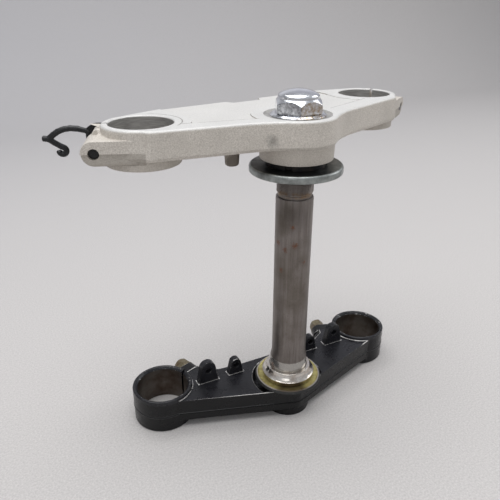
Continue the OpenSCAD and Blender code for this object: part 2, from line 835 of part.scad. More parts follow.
// A round rod swept along such points in the XY plane, with slightly rounded ends.
module bent_rod(path) {
    sides = 12;
    n = len(path);
    round = rod_d * 0.18;
    first = path[0];
    last = path[n - 1];
    stations = concat(
        [[first, -round, rod_d / 2 - round]],
        [for (p = path) [p, 0, rod_d / 2]],
        [[last, round, rod_d / 2 - round]]
    );
    m = len(stations);
    points = [
        for (s = stations) for (k = [0:sides - 1])
            let (
                h = s[0][2],
                a = 360 * k / sides,
                across = s[2] * cos(a)
            )
            [
                s[0][0] + s[1] * cos(h) - across * sin(h),
                s[0][1] + s[1] * sin(h) + across * cos(h),
                s[2] * sin(a)
            ]
    ];
    walls = [
        for (i = [0:m - 2]) for (k = [0:sides - 1])
            let (j = (k + 1) % sides)
            [i * sides + k, (i + 1) * sides + k, (i + 1) * sides + j, i * sides + j]
    ];
    ends = [[for (k = [0:sides - 1]) k], [for (k = [sides - 1:-1:0]) (m - 1) * sides + k]];
    polyhedron(points = points, faces = concat(walls, ends), convexity = 6);
}

// Cable guide: a flat eye under the left bolt's head, with two rods bent into an open hook.
module cable_guide() {
    eye_r = 11;
    eye_relief = 2.5;
    color([0.13, 0.14, 0.15])
        top_left_slit_frame()
            translate([ear_u, ear_back + eye_t, ear_z])
                rotate([90, 0, 0]) {
                    linear_extrude(eye_t)
                        difference() {
                            circle(r = eye_r);
                            circle(r = clearance_r);
                            difference() {
                                translate([-2 * eye_r - eye_relief, -eye_r])
                                    square([2 * eye_r, 2 * eye_r]);
                                circle(r = ear_flange_r);
                            }
                        }
                    translate([0, 0, eye_t / 2]) {
                        bent_rod(bent(guide_bends, guide_start[0], guide_start[1], guide_heading));
                        bent_rod(bent(hook_bends, hook_start[0], hook_start[1], hook_heading));
                    }
                }
}

lower_clamp();
steering_stem();
lower_bearing_race();
lower_seal_shell();
lower_seal_lip();
lower_pinch_bolt_left();
lower_pinch_bolt_right();
dust_cover();
adjuster_nut();
lock_washer();
lock_nut();
top_clamp();
stem_washer();
stem_nut();
top_pinch_bolt_left();
top_pinch_bolt_right();
cable_guide();
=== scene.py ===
import math

import bpy
from mathutils import Matrix, Vector


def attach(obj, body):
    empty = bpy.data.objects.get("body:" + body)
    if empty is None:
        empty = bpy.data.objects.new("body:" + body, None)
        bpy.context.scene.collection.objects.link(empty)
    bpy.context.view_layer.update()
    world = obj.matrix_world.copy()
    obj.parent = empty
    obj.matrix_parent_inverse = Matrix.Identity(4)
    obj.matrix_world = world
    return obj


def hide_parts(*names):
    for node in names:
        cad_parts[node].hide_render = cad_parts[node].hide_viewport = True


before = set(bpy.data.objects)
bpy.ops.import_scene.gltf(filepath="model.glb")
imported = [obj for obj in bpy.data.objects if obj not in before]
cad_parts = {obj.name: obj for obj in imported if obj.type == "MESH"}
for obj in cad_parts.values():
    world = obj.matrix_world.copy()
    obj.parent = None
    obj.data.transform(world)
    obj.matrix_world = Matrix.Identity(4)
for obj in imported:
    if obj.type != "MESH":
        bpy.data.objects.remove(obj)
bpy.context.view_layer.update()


# Camera: where the photographer stood, a little left of the steering axis and above the top clamp.
# Its place and turn come from a fit of the object's own edges in the photograph.
MM = 0.001
camera_place_mm = (-194.83, -312.73, 318.33)
heading, tilt, roll = (math.radians(angle) for angle in (-26.94, 64.602, 0.18))
camera_data = bpy.data.cameras.new("photo_camera")
camera_data.sensor_width = 36
camera_data.lens = 38.89
camera = bpy.data.objects.new("photo_camera", camera_data)
bpy.context.scene.collection.objects.link(camera)
camera.matrix_world = (
    Matrix.Translation(Vector(camera_place_mm) * MM)
    @ Matrix.Rotation(heading, 4, "Z")
    @ Matrix.Rotation(tilt, 4, "X")
    @ Matrix.Rotation(roll, 4, "Z")
)
bpy.context.scene.camera = camera


# Studio: a pale paper sweep, flat under the object and rising behind it as a grey wall.
# One large softbox hangs over it, with a weak fill from the front left and one from the right.
def linear(hex_colour):
    """An sRGB hex colour as linear RGBA."""
    parts = [int(hex_colour[i:i + 2], 16) / 255 for i in (1, 3, 5)]
    return [p / 12.92 if p <= 0.04045 else ((p + 0.055) / 1.055) ** 2.4 for p in parts] + [1.0]


def add_node(tree, kind, links=None, **settings):
    """One shader node with its settings, and its inputs set or linked by socket name."""
    node = tree.nodes.new(kind)
    for key, value in settings.items():
        setattr(node, key, value)
    for socket, value in (links or {}).items():
        if isinstance(value, bpy.types.NodeSocket):
            tree.links.new(value, node.inputs[socket])
        else:
            node.inputs[socket].default_value = value
    return node


def new_material(name, **shader):
    """A material with only a Principled shader, whose sockets take the given constants."""
    material = bpy.data.materials.new(name)
    material.use_nodes = True
    bsdf = material.node_tree.nodes["Principled BSDF"]
    for socket, value in shader.items():
        bsdf.inputs[socket.replace("_", " ")].default_value = value
    point = add_node(material.node_tree, "ShaderNodeTexCoord").outputs["Object"]
    return material, material.node_tree, bsdf, point


def axes(tree, point):
    """A point's X, Y and Z, in metres."""
    return add_node(tree, "ShaderNodeSeparateXYZ", {"Vector": point}).outputs[:]


def ramp(tree, value, low, high, to_low=0.0, to_high=1.0):
    """A value taken from one range to another, and held inside it."""
    return add_node(
        tree, "ShaderNodeMapRange",
        {"Value": value, "From Min": low, "From Max": high, "To Min": to_low, "To Max": to_high},
    ).outputs["Result"]


def blend_colours(tree, share, first, second):
    """Two colours mixed by a share from 0 to 1."""
    mix = add_node(tree, "ShaderNodeMix", data_type="RGBA")
    for socket, value in ((0, share), (6, first), (7, second)):
        if isinstance(value, bpy.types.NodeSocket):
            tree.links.new(value, mix.inputs[socket])
        else:
            mix.inputs[socket].default_value = value
    return mix.outputs[2]


def noise(tree, point, size_mm, detail=2.0, roughness=0.5):
    """Noise whose blobs are about this many millimetres across."""
    return add_node(
        tree, "ShaderNodeTexNoise",
        {"Vector": point, "Scale": 1 / (size_mm * MM), "Detail": detail, "Roughness": roughness},
    ).outputs["Fac"]


def maths(tree, operation, first, *others):
    """A chain of one operation, taken from the left."""
    result = first
    for other in others or (0.0,):
        step = add_node(tree, "ShaderNodeMath", {0: result, 1: other}, operation=operation)
        result = step.outputs[0]
    return result


floor_rows, curve_rows, wall_rows = 12, 24, 12
rows = floor_rows + curve_rows + wall_rows
near, curve_start, curve_r, wall_top, sweep_width = -7.0, 1.1, 0.5, 2.6, 16.0
bpy.ops.object.select_all(action="DESELECT")
bpy.ops.mesh.primitive_grid_add(x_subdivisions=2, y_subdivisions=rows, size=1)
sweep = bpy.context.object
sweep.name = "paper_sweep"
for vertex in sweep.data.vertices:
    row = (vertex.co.y + 0.5) * rows
    vertex.co.x *= sweep_width
    if row <= floor_rows:
        vertex.co.y = near + (curve_start - near) * row / floor_rows
    elif row <= floor_rows + curve_rows:
        turned = math.radians(90) * (row - floor_rows) / curve_rows
        vertex.co.y = curve_start + curve_r * math.sin(turned)
        vertex.co.z = curve_r * (1 - math.cos(turned))
    else:
        vertex.co.y = curve_start + curve_r
        vertex.co.z = curve_r + (wall_top - curve_r) * (row - floor_rows - curve_rows) / wall_rows
bpy.ops.object.shade_smooth()

# Board has no gloss and a fine fibre; painted shade darkens it towards the back and left, and the
# wall above is painted lighter, most of all to the right.
paper, tree, bsdf, point = new_material("matt_paper_board", Roughness=0.9, Specular_IOR_Level=0.2)
rightward, backward, upward = axes(tree, point)
shade = maths(
    tree, "MULTIPLY", ramp(tree, backward, 0.05, 1.5), ramp(tree, rightward, -0.6, 1.4, 1.0, 0.2))
fibres = ramp(tree, noise(tree, point, 1.5, 5, 0.8), 0.35, 0.65, 0.05, 0.7)
board = blend_colours(tree, fibres, linear("#cac7c5"), linear("#9f9c9b"))
board = blend_colours(tree, shade, board, linear("#acabae"))
painted_light_upper_wall = ramp(tree, rightward, 0.0, 1.2)
painted_light_upper_wall = blend_colours(tree, painted_light_upper_wall, linear("#cfcfd1"), linear("#f4f4fb"))
board = blend_colours(tree, ramp(tree, upward, 0.45, 0.9), board, painted_light_upper_wall)
tree.links.new(board, bsdf.inputs["Base Color"])
sweep.data.materials.append(paper)

for name, place, aim, size, power in (
    ("overhead_softbox", (-0.15, 0.1, 1.7), (0, 0, 0.1), 1.6, 27.5),
    ("front_fill", (-1.3, -1.6, 1.2), (0, 0, 0.1), 1.2, 4.5),
    ("side_fill", (1.6, -0.1, 1.1), (0.1, 0.2, 0.15), 1.0, 6.5),
):
    lamp_data = bpy.data.lights.new(name, "AREA")
    lamp_data.shape = "SQUARE"
    lamp_data.size = size
    lamp_data.energy = power
    lamp = bpy.data.objects.new(name, lamp_data)
    bpy.context.scene.collection.objects.link(lamp)
    lamp.location = place
    lamp.rotation_euler = (Vector(aim) - Vector(place)).to_track_quat("-Z", "Y").to_euler()

world = bpy.data.worlds.new("studio_room")
bpy.context.scene.world = world
world.use_nodes = True
room = world.node_tree.nodes["Background"]
room.inputs["Color"].default_value = linear("#e4e6ea")
room.inputs["Strength"].default_value = 0.66
bpy.context.scene.view_settings.view_transform = "Standard"


# Lower clamp: one aluminium casting in satin black paint, with two split rings for the fork tubes.
# The bores are turned and left bare, and handling has rubbed the paint off along the upper edges.
def cad_copy(node, name):
    """A merged copy of a CAD node that stands for it, in edit mode with all of it selected."""
    bpy.ops.object.select_all(action="DESELECT")
    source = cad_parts[node]
    piece = bpy.data.objects.new(name, source.data.copy())
    bpy.context.scene.collection.objects.link(piece)
    piece.data.materials.clear()
    bpy.context.view_layer.objects.active = piece
    piece.select_set(True)
    if piece.data.has_custom_normals:
        bpy.ops.mesh.customdata_custom_splitnormals_clear()
    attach(piece, "root")
    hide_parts(node)
    bpy.ops.object.mode_set(mode="EDIT")
    bpy.ops.mesh.select_all(action="SELECT")
    bpy.ops.mesh.remove_doubles(threshold=0.004 * MM)
    return piece


def round_edges(piece, width_mm, limit_deg, segments=2, edge_slot=-1):
    """Rounds a piece's sharp edges and leaves the flats looking flat."""
    smooth_deg = 38
    bpy.ops.object.mode_set(mode="OBJECT")
    bpy.context.view_layer.objects.active = piece
    bevel = piece.modifiers.new("rounded_edges", "BEVEL")
    bevel.width = width_mm * MM
    bevel.segments = segments
    bevel.limit_method = "ANGLE"
    bevel.angle_limit = math.radians(limit_deg)
    bevel.use_clamp_overlap = False
    bevel.material = edge_slot
    bpy.ops.object.modifier_apply(modifier=bevel.name)
    bpy.ops.object.mode_set(mode="EDIT")
    bpy.ops.mesh.select_all(action="SELECT")
    bpy.ops.mesh.quads_convert_to_tris(quad_method="BEAUTY", ngon_method="BEAUTY")
    bpy.ops.object.mode_set(mode="OBJECT")
    bpy.ops.object.shade_smooth_by_angle(angle=math.radians(smooth_deg))
    weighted = piece.modifiers.new("flat_faces", "WEIGHTED_NORMAL")
    weighted.keep_sharp = True
    bpy.ops.object.modifier_apply(modifier=weighted.name)


def in_bore(centre, face):
    """Whether a face is part of the upright fork bore round the given axis."""
    clearance, most_tilt = 0.4 * MM, 0.3
    away = Vector((face.center[0] - centre[0], face.center[1] - centre[1]))
    return away.length < fork_bore_r + clearance and abs(face.normal.z) < most_tilt


def roughened(tree, bsdf, height, depth_mm):
    """Bump of this depth on a shader."""
    bump = add_node(tree, "ShaderNodeBump", {"Height": height, "Distance": depth_mm * MM})
    tree.links.new(bump.outputs["Normal"], bsdf.inputs["Normal"])


def two_tone(tree, bsdf, pattern, low, high, first, second):
    """Gives a shader the first colour where a pattern is low, and the second where it is high."""
    colour = blend_colours(tree, ramp(tree, pattern, low, high), linear(first), linear(second))
    tree.links.new(colour, bsdf.inputs["Base Color"])


def band(tree, value, rise, fall):
    """One where a value lies between two places, each given as the pair it ramps over."""
    return maths(tree, "MULTIPLY", ramp(tree, value, *rise), ramp(tree, value, *fall))


def stretched(tree, point, scale):
    """A point whose noise is drawn out along the axes with a small scale."""
    return add_node(tree, "ShaderNodeMapping", {"Vector": point, "Scale": scale}).outputs["Vector"]


fork_x, fork_y, fork_bore_r = 98.35 * MM, 34.6 * MM, 20.5 * MM
lower_bores = [Vector((side * fork_x, fork_y)) for side in (-1, 1)]
# each is two heights in metres with a ramp between them, and some go on with its two values
lower_arm_top = (0.0258, 0.0263)
lower_wear_by_height = (0.018, 0.026, -0.28, 0.07)
lower_ring_rims = (0.0268, 0.0278, 0.03, -0.22)

# Satin paint: a dark body with the softbox's soft sheen, and a little dust from the arms' tops up.
black_paint, tree, bsdf, point = new_material("satin_black_paint", Specular_IOR_Level=0.32)
dust = ramp(tree, noise(tree, point, 18, 4), 0.3, 0.7, 0.35, 1.0)
settled = maths(tree, "MULTIPLY", dust, ramp(tree, axes(tree, point)[2], *lower_arm_top))
dusted = blend_colours(tree, settled, linear("#0b0b0d"), linear("#26262a"))
tree.links.new(dusted, bsdf.inputs["Base Color"])
tree.links.new(ramp(tree, noise(tree, point, 9, 3), 0.3, 0.7, 0.22, 0.36), bsdf.inputs["Roughness"])
roughened(tree, bsdf, noise(tree, point, 1.3, 3), 0.12)

# Worn edges: broken bright lines of bare aluminium, least along the right arm's front.
worn_paint, tree, bsdf, point = new_material(
    "paint_rubbed_from_edges", Roughness=0.34, Specular_IOR_Level=0.4)
clamp_x, clamp_y, clamp_z = axes(tree, point)
chips = noise(tree, point, 1.6, 5, 0.65)
worn = maths(tree, "ADD", chips, maths(tree, "MULTIPLY", noise(tree, point, 14, 2), 0.5))
worn = maths(tree, "ADD", worn, ramp(tree, clamp_z, *lower_wear_by_height))
worn = maths(tree, "ADD", worn, ramp(tree, clamp_z, *lower_ring_rims))
front = maths(tree, "ADD", clamp_y, maths(tree, "MULTIPLY", clamp_x, -0.3))
front = ramp(tree, front, -0.008, -0.012)
right_arm = band(tree, clamp_x, (0.01, 0.03), (0.086, 0.08))
worn = maths(tree, "SUBTRACT", worn, maths(tree, "MULTIPLY", front, right_arm, 0.3))
bare = ramp(tree, worn, 0.7, 0.78)
rubbed = blend_colours(tree, bare, linear("#151517"), linear("#d2d0cd"))
tree.links.new(rubbed, bsdf.inputs["Base Color"])
tree.links.new(maths(tree, "MULTIPLY", bare, 0.8), bsdf.inputs["Metallic"])
roughened(tree, bsdf, chips, 0.1)

# Turned aluminium under old dirt: a dim brown glow with faint rings from the tool.
stained_bore, tree, bsdf, point = new_material(
    "turned_aluminium_stained_brown", Metallic=0.75, Roughness=0.38)
two_tone(tree, bsdf, noise(tree, point, 11, 4, 0.6), 0.38, 0.68, "#5f5953", "#43352c")
roughened(tree, bsdf, noise(tree, stretched(tree, point, (0.15, 0.15, 1.0)), 0.7, 2), 0.05)

lower_clamp = cad_copy("lower_clamp", "lower_clamp_casting")
for material in (black_paint, worn_paint, stained_bore):
    lower_clamp.data.materials.append(material)
round_edges(lower_clamp, 0.5, 30, 3, edge_slot=1)
for vertex in lower_clamp.data.vertices:
    # rounding the narrow corners beside the slits reaches below the foot
    vertex.co.z = max(vertex.co.z, 0.0)
for face in lower_clamp.data.polygons:
    if any(in_bore(bore, face) for bore in lower_bores):
        face.material_index = 2


# Steering stem: a turned steel tube, dull grey with rust freckles, bright where the bearing sat.
# A fine thread for the adjuster nut starts above an undercut near its upper end.
def vector_maths(tree, operation, first, second=(0, 0, 0)):
    """The outputs of one operation on vectors: Vector or Value, as the operation gives."""
    node = add_node(tree, "ShaderNodeVectorMath", {0: first, 1: second}, operation=operation)
    return node.outputs


def distance_from(tree, point, place_mm):
    """How far a point is from a place given in millimetres."""
    place = [coordinate * MM for coordinate in place_mm]
    return vector_maths(tree, "DISTANCE", point, place)["Value"]


bearing_seat = ((0.0405, 0.0412), (0.0502, 0.0492))
over_the_seat = ((0.0494, 0.0503), (0.066, 0.053))
rusty_neck = ((0.1885, 0.1895), (0.1945, 0.1925))
smoke_place_mm = (-9.0, -10.5, 178.0)
rust_spots_mm = [
    ((-13.63, -1.38, 154.1), 2.2), ((-11.28, -7.77, 149.9), 1.8), ((-5.79, -12.42, 153.9), 2.6),
    ((-12.65, -5.26, 132.6), 1.5), ((1.87, -13.57, 139.7), 1.3), ((-7.57, -11.42, 168.0), 1.7),
    ((-13.69, -0.45, 43.7), 2.5), ((9.0, 10.3, 120.0), 3.0), ((-4.0, 13.1, 88.0), 2.2),
]

# Dulled steel: a satin grey with fine lengthwise streaks, warm where rust has taken.
stem_steel, tree, bsdf, point = new_material("turned_steel_dulled")
height = axes(tree, point)[2]
streaks = noise(tree, stretched(tree, point, (1.0, 1.0, 0.06)), 2.2, 4, 0.6)
grey = blend_colours(tree, ramp(tree, streaks, 0.3, 0.7), linear("#6c6561"), linear("#8b8480"))
cloud = ramp(tree, noise(tree, point, 22, 4), 0.45, 0.75)
grey = blend_colours(tree, cloud, grey, linear("#625b52"))
seat = band(tree, height, *bearing_seat)
darkened = maths(tree, "MULTIPLY", band(tree, height, *over_the_seat), 0.2)
grey = blend_colours(tree, darkened, grey, linear("#4d4843"))
grey = blend_colours(tree, seat, grey, linear("#b0ada8"))
smoke_edge = maths(tree, "MULTIPLY", streaks, 0.008)
smoked = maths(tree, "ADD", distance_from(tree, point, smoke_place_mm), smoke_edge)
grey = blend_colours(tree, ramp(tree, smoked, 0.021, 0.008, 0.0, 0.5), grey, linear("#38332f"))
pits = ramp(tree, noise(tree, point, 0.9, 3, 0.6), 0.55, 0.7, 0.0, 0.4)
grey = blend_colours(tree, pits, grey, linear("#4f4742"))

ragged = maths(tree, "SUBTRACT", noise(tree, point, 0.9, 4, 0.75), 0.5)
ragged = maths(tree, "MULTIPLY", ragged, 0.012)
rust = ramp(tree, noise(tree, point, 1.1, 3, 0.6), 0.71, 0.77, 0.0, 0.6)
for place_mm, radius_mm in rust_spots_mm:
    away = maths(tree, "ADD", distance_from(tree, point, place_mm), ragged)
    rust = maths(tree, "MAXIMUM", rust, ramp(tree, away, radius_mm * MM, radius_mm * 0.55 * MM))
rust = maths(tree, "MULTIPLY", rust, 0.85)
grey = blend_colours(tree, rust, grey, linear("#63391f"))
neck_rust = ramp(tree, noise(tree, point, 4, 4, 0.65), 0.42, 0.6, 0.0, 0.6)
neck_rust = maths(tree, "MULTIPLY", band(tree, height, *rusty_neck), neck_rust)
tree.links.new(blend_colours(tree, neck_rust, grey, linear("#7f6545")), bsdf.inputs["Base Color"])
metallic = maths(tree, "SUBTRACT", 0.85, maths(tree, "MULTIPLY", rust, 0.7))
tree.links.new(metallic, bsdf.inputs["Metallic"])
polish = maths(tree, "MULTIPLY", seat, -0.2)
dullness = maths(tree, "ADD", ramp(tree, streaks, 0.3, 0.7, 0.36, 0.46), polish)
tree.links.new(dullness, bsdf.inputs["Roughness"])
roughened(tree, bsdf, maths(tree, "ADD", streaks, maths(tree, "MULTIPLY", rust, 2.0)), 0.03)

steering_stem = cad_copy("steering_stem", "steering_stem_tube")
round_edges(steering_stem, 0.25, 30)
steering_stem.data.materials.append(stem_steel)

thread_pitch, thread_low, thread_high = 1.0, 190.8, 206.5
thread_root_r, thread_crest_r, turn_steps = 12.95, 13.26, 72
ridge = [(thread_root_r, 0.0), (thread_crest_r, 0.42), (thread_crest_r, 0.58), (thread_root_r, 1.0)]
bpy.ops.object.select_all(action="DESELECT")
bpy.ops.mesh.primitive_plane_add(size=1)
adjuster_thread = bpy.context.object
adjuster_thread.name = "adjuster_thread"
bpy.ops.object.mode_set(mode="EDIT")
bpy.ops.mesh.delete(type="ONLY_FACE")
bpy.ops.object.mode_set(mode="OBJECT")
neighbours = {}
for edge in adjuster_thread.data.edges:
    for end, other_end in (edge.vertices, reversed(edge.vertices)):
        neighbours.setdefault(end, []).append(other_end)
corners = [0, neighbours[0][0]]
while len(corners) < len(ridge):
    corners.append([v for v in neighbours[corners[-1]] if v != corners[-2]][0])
for index, (radius, up) in zip(corners, ridge):
    height_mm = thread_low + up * thread_pitch
    adjuster_thread.data.vertices[index].co = (radius * MM, 0, height_mm * MM)
bpy.ops.object.mode_set(mode="EDIT")
bpy.ops.mesh.select_all(action="DESELECT")
bpy.ops.object.mode_set(mode="OBJECT")
for edge in adjuster_thread.data.edges:
    edge.select = set(edge.vertices) == {corners[0], corners[-1]}
bpy.ops.object.mode_set(mode="EDIT")
bpy.ops.mesh.select_mode(type="EDGE")
bpy.ops.mesh.delete(type="EDGE")
bpy.ops.object.mode_set(mode="OBJECT")
screw = adjuster_thread.modifiers.new("helix", "SCREW")
screw.axis = "Z"
screw.screw_offset = thread_pitch * MM
screw.iterations = int(thread_high - thread_low)
screw.steps = screw.render_steps = turn_steps
screw.use_merge_vertices = True
screw.merge_threshold = 0.01 * MM
screw.use_smooth_shade = False
bpy.ops.object.modifier_apply(modifier=screw.name)
bpy.ops.object.mode_set(mode="EDIT")
bpy.ops.mesh.select_all(action="SELECT")
bpy.ops.mesh.remove_doubles(threshold=0.01 * MM)
bpy.ops.mesh.normals_make_consistent(inside=False)
bpy.ops.object.mode_set(mode="OBJECT")
adjuster_thread.data.materials.append(stem_steel)
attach(adjuster_thread, "root")

# Lower bearing: the inner race of an angular contact ball bearing, ground and polished.
# Balls have run a bright band round it, and old grease has left brown tints; below the track it is
# a darker brown.
under_the_track = (0.0358, 0.0345)

# Ground steel: sharp bright glints that break into fine lines round the ring.
race_steel, tree, bsdf, point = new_material("ground_bearing_steel", Metallic=1.0)
lines = noise(tree, stretched(tree, point, (0.08, 0.08, 1.0)), 0.5, 3)
tint = ramp(tree, noise(tree, point, 6, 4, 0.6), 0.35, 0.7, 0.0, 0.7)
track = blend_colours(tree, tint, linear("#dcd8d2"), linear("#94816f"))
below = ramp(tree, axes(tree, point)[2], *under_the_track)
below = maths(tree, "MULTIPLY", below, ramp(tree, tint, 0.0, 1.0, 0.55, 0.9))
tree.links.new(blend_colours(tree, below, track, linear("#4b3a30")), bsdf.inputs["Base Color"])
tree.links.new(ramp(tree, lines, 0.3, 0.7, 0.11, 0.22), bsdf.inputs["Roughness"])
roughened(tree, bsdf, lines, 0.01)
race = cad_copy("lower_bearing_race", "lower_bearing_inner_race")
round_edges(race, 0.2, 30)
race.data.materials.append(race_steel)

# Dust seal: a pressed steel ring with yellow passivated zinc, and a rubber lip bonded round it.
# It is dark brown in front of the race, and its rim is a pale grey.
seal_dark_patch_place_mm = (-10.0, -24.0, 31.0)
seal_rim_r = (0.0251, 0.0254)

# Yellow zinc: a satin olive gold, clouded by the passivation.
seal_zinc, tree, bsdf, point = new_material("yellow_passivated_zinc", Metallic=0.55, Roughness=0.34)
mottle = noise(tree, point, 4, 4, 0.6)
zinc = blend_colours(tree, ramp(tree, mottle, 0.35, 0.7), linear("#c1b879"), linear("#938552"))
flat = vector_maths(tree, "MULTIPLY", point, (1, 1, 0))["Vector"]
from_axis = vector_maths(tree, "LENGTH", flat)["Value"]
rim = maths(tree, "MULTIPLY", ramp(tree, from_axis, *seal_rim_r), 0.8)
zinc = blend_colours(tree, rim, zinc, linear("#a7a2a6"))
dark_patch_edge = maths(tree, "MULTIPLY", mottle, 0.007)
dark_patch = maths(tree, "ADD", distance_from(tree, point, seal_dark_patch_place_mm), dark_patch_edge)
zinc = blend_colours(tree, ramp(tree, dark_patch, 0.019, 0.0135, 0.0, 0.8), zinc, linear("#493a2b"))
tree.links.new(zinc, bsdf.inputs["Base Color"])
roughened(tree, bsdf, mottle, 0.03)
seal_shell = cad_copy("lower_seal_shell", "lower_seal_ring")
round_edges(seal_shell, 0.15, 30)
seal_shell.data.materials.append(seal_zinc)

# Aged rubber: a dull black with grey bloom and no clear reflection.
seal_rubber, tree, bsdf, point = new_material("aged_black_rubber", Roughness=0.55)
two_tone(tree, bsdf, noise(tree, point, 3, 3), 0.5, 0.75, "#141414", "#3a3835")
roughened(tree, bsdf, noise(tree, point, 0.8, 3), 0.08)
seal_lip = cad_copy("lower_seal_lip", "lower_seal_rubber_lip")
round_edges(seal_lip, 0.1, 30)
seal_lip.data.materials.append(seal_rubber)

# Lower pinch bolts: forged flange bolts in olive zinc, screwed in from behind.
# They close the slits of the lower rings.

# Olive zinc: a dull khaki metal, blotched with the brown of early rust.
olive_zinc, tree, bsdf, point = new_material("olive_zinc_with_rust", Metallic=0.7, Roughness=0.46)
rusting = noise(tree, point, 3.5, 4, 0.6)
two_tone(tree, bsdf, rusting, 0.45, 0.68, "#7d755f", "#5f4736")
roughened(tree, bsdf, rusting, 0.08)
for side in ("left", "right"):
    bolt = cad_copy(f"lower_pinch_bolt_{side}", f"lower_flange_bolt_{side}")
    round_edges(bolt, 0.35, 30)
    bolt.data.materials.append(olive_zinc)


# Dust cover and nuts: a dish pressed from steel sheet, which hides a turned ring nut.
# Over it, out of sight under the top clamp, lie a stamped tab washer and a thin lock nut.
def along(tree, point, direction):
    """How far a point lies along a direction."""
    return vector_maths(tree, "DOT_PRODUCT", point, direction)["Value"]


cover_left = (-0.85, -0.53, 0)
cover_top = (0.2112, 0.2116)

# Blue zinc: a cool satin grey with soft clouds; the left of its top is painted near black as shade
# and dark reflection under the top clamp.
cover_zinc, tree, bsdf, point = new_material("blue_passivated_zinc", Metallic=0.8)
cloud = noise(tree, point, 7, 5, 0.6)
zinc = blend_colours(tree, ramp(tree, cloud, 0.35, 0.68), linear("#9b9f9d"), linear("#6f7270"))
painted_shade_on_top = maths(tree, "ADD", along(tree, point, cover_left), maths(tree, "MULTIPLY", cloud, 0.01))
painted_shade_on_top = ramp(tree, painted_shade_on_top, 0.0, 0.02, 0.35, 0.97)
painted_shade_on_top = maths(tree, "MULTIPLY", painted_shade_on_top, ramp(tree, axes(tree, point)[2], *cover_top))
tree.links.new(blend_colours(tree, painted_shade_on_top, zinc, linear("#1e1f1f")), bsdf.inputs["Base Color"])
tree.links.new(ramp(tree, cloud, 0.3, 0.7, 0.3, 0.42), bsdf.inputs["Roughness"])
roughened(tree, bsdf, noise(tree, point, 1.2, 3), 0.03)
dust_cover = cad_copy("dust_cover", "dust_cover_dish")
round_edges(dust_cover, 0.2, 40)
dust_cover.data.materials.append(cover_zinc)

# Blackened steel: nearly black, with a faint oily sheen.
blackened, tree, bsdf, point = new_material("blackened_steel", Metallic=0.6, Roughness=0.45)
two_tone(tree, bsdf, noise(tree, point, 5, 3), 0.4, 0.7, "#222224", "#39342f")
roughened(tree, bsdf, noise(tree, point, 0.9, 2), 0.03)
for node, name in (
    ("adjuster_nut", "adjuster_ring_nut"),
    ("lock_washer", "tab_washer"),
    ("lock_nut", "lock_ring_nut"),
):
    part = cad_copy(node, name)
    round_edges(part, 0.25, 30)
    part.data.materials.append(blackened)


# Top clamp: a sand cast aluminium yoke in silver paint, clamped on the stem by its nut.
# The fork bores and the spot face round the nut are machined and left bare.
def turned_about_z(tree, point, angle):
    """A point turned about the upright axis."""
    return add_node(
        tree, "ShaderNodeMapping", {"Vector": point, "Rotation": (0, 0, angle)}).outputs["Vector"]


top_turn, top_slit_angle = math.radians(8.35), math.radians(27.5)
smudge_place_mm, stud_place_mm = (-28.8, -17.6, 233.6), (-46.5, -0.5, 218.0)
top_face, panel_face, top_underside = (0.2442, 0.2452), (0.2448, 0.245), (0.2268, 0.2262)

# Silver paint on a sand casting: pale warm grey whose grain breaks up every reflection.
silver_paint, tree, bsdf, point = new_material(
    "silver_paint_on_sand_casting", Metallic=0.25, Roughness=0.5)
grain = noise(tree, point, 0.75, 3, 0.6)
silver = blend_colours(tree, ramp(tree, grain, 0.35, 0.65), linear("#b7b0a7"), linear("#d8d2c9"))
patchy = ramp(tree, noise(tree, point, 24, 3), 0.4, 0.75, 0.0, 0.35)
silver = blend_colours(tree, patchy, silver, linear("#a9a39a"))
smudge_edge = maths(tree, "MULTIPLY", noise(tree, point, 2.5, 3), 0.006)
smudge = maths(tree, "ADD", distance_from(tree, point, smudge_place_mm), smudge_edge)
silver = blend_colours(tree, ramp(tree, smudge, 0.0085, 0.004, 0.0, 0.5), silver, linear("#4d4a47"))
# Painted light: the top faces are paler and cooler than the rest.
painted_top_light = maths(tree, "MULTIPLY", ramp(tree, axes(tree, point)[2], *top_face), 0.55)
silver = blend_colours(tree, painted_top_light, silver, linear("#cccfd1"))
# Round the stud under the left arm: brown dirt, and painted shade under the arm and on the stud's
# right.
stud_edge = maths(tree, "MULTIPLY", grain, 0.003)
stud_dirt_and_painted_shade = maths(tree, "ADD", distance_from(tree, point, stud_place_mm), stud_edge)
stud_dirt_and_painted_shade = ramp(tree, stud_dirt_and_painted_shade, 0.0125, 0.0075, 0.0, 0.93)
silver = blend_colours(tree, stud_dirt_and_painted_shade, silver, linear("#352b23"))

# A thin dark line of painted shadow follows the sunk panel's step, straight along both arms and
# round the left ring.
# Past its ends up to 10 mm is added to how far the line is, which hides it.
line_across, line_offset_mm = (-0.2768, 0.9609, 0), 7.05
line_starts, line_ends, arc_ends = (0.031, 0.030), (0.0797, 0.081), (-0.084, -0.09)
arc_r_mm, hidden, line_width = 25.7, (0.0, 0.01), (0.00055, 0.00025)
clamp_x, clamp_y, clamp_z = axes(tree, turned_about_z(tree, point, -top_turn))
side_x = maths(tree, "ABSOLUTE", clamp_x)
half = add_node(
    tree, "ShaderNodeCombineXYZ", {"X": side_x, "Y": clamp_y, "Z": clamp_z}).outputs["Vector"]
line = maths(tree, "ADD", along(tree, half, line_across), line_offset_mm * MM)
line = maths(
    tree, "ADD", maths(tree, "ABSOLUTE", line),
    ramp(tree, side_x, *line_starts, *hidden), ramp(tree, side_x, *line_ends, *hidden))
flat = add_node(tree, "ShaderNodeCombineXYZ", {"X": clamp_x, "Y": clamp_y}).outputs["Vector"]
arc = distance_from(tree, flat, (-fork_x / MM, fork_y / MM, 0))
arc = maths(tree, "ABSOLUTE", maths(tree, "SUBTRACT", arc, arc_r_mm * MM))
arc = maths(tree, "ADD", arc, ramp(tree, clamp_x, *arc_ends, *hidden))
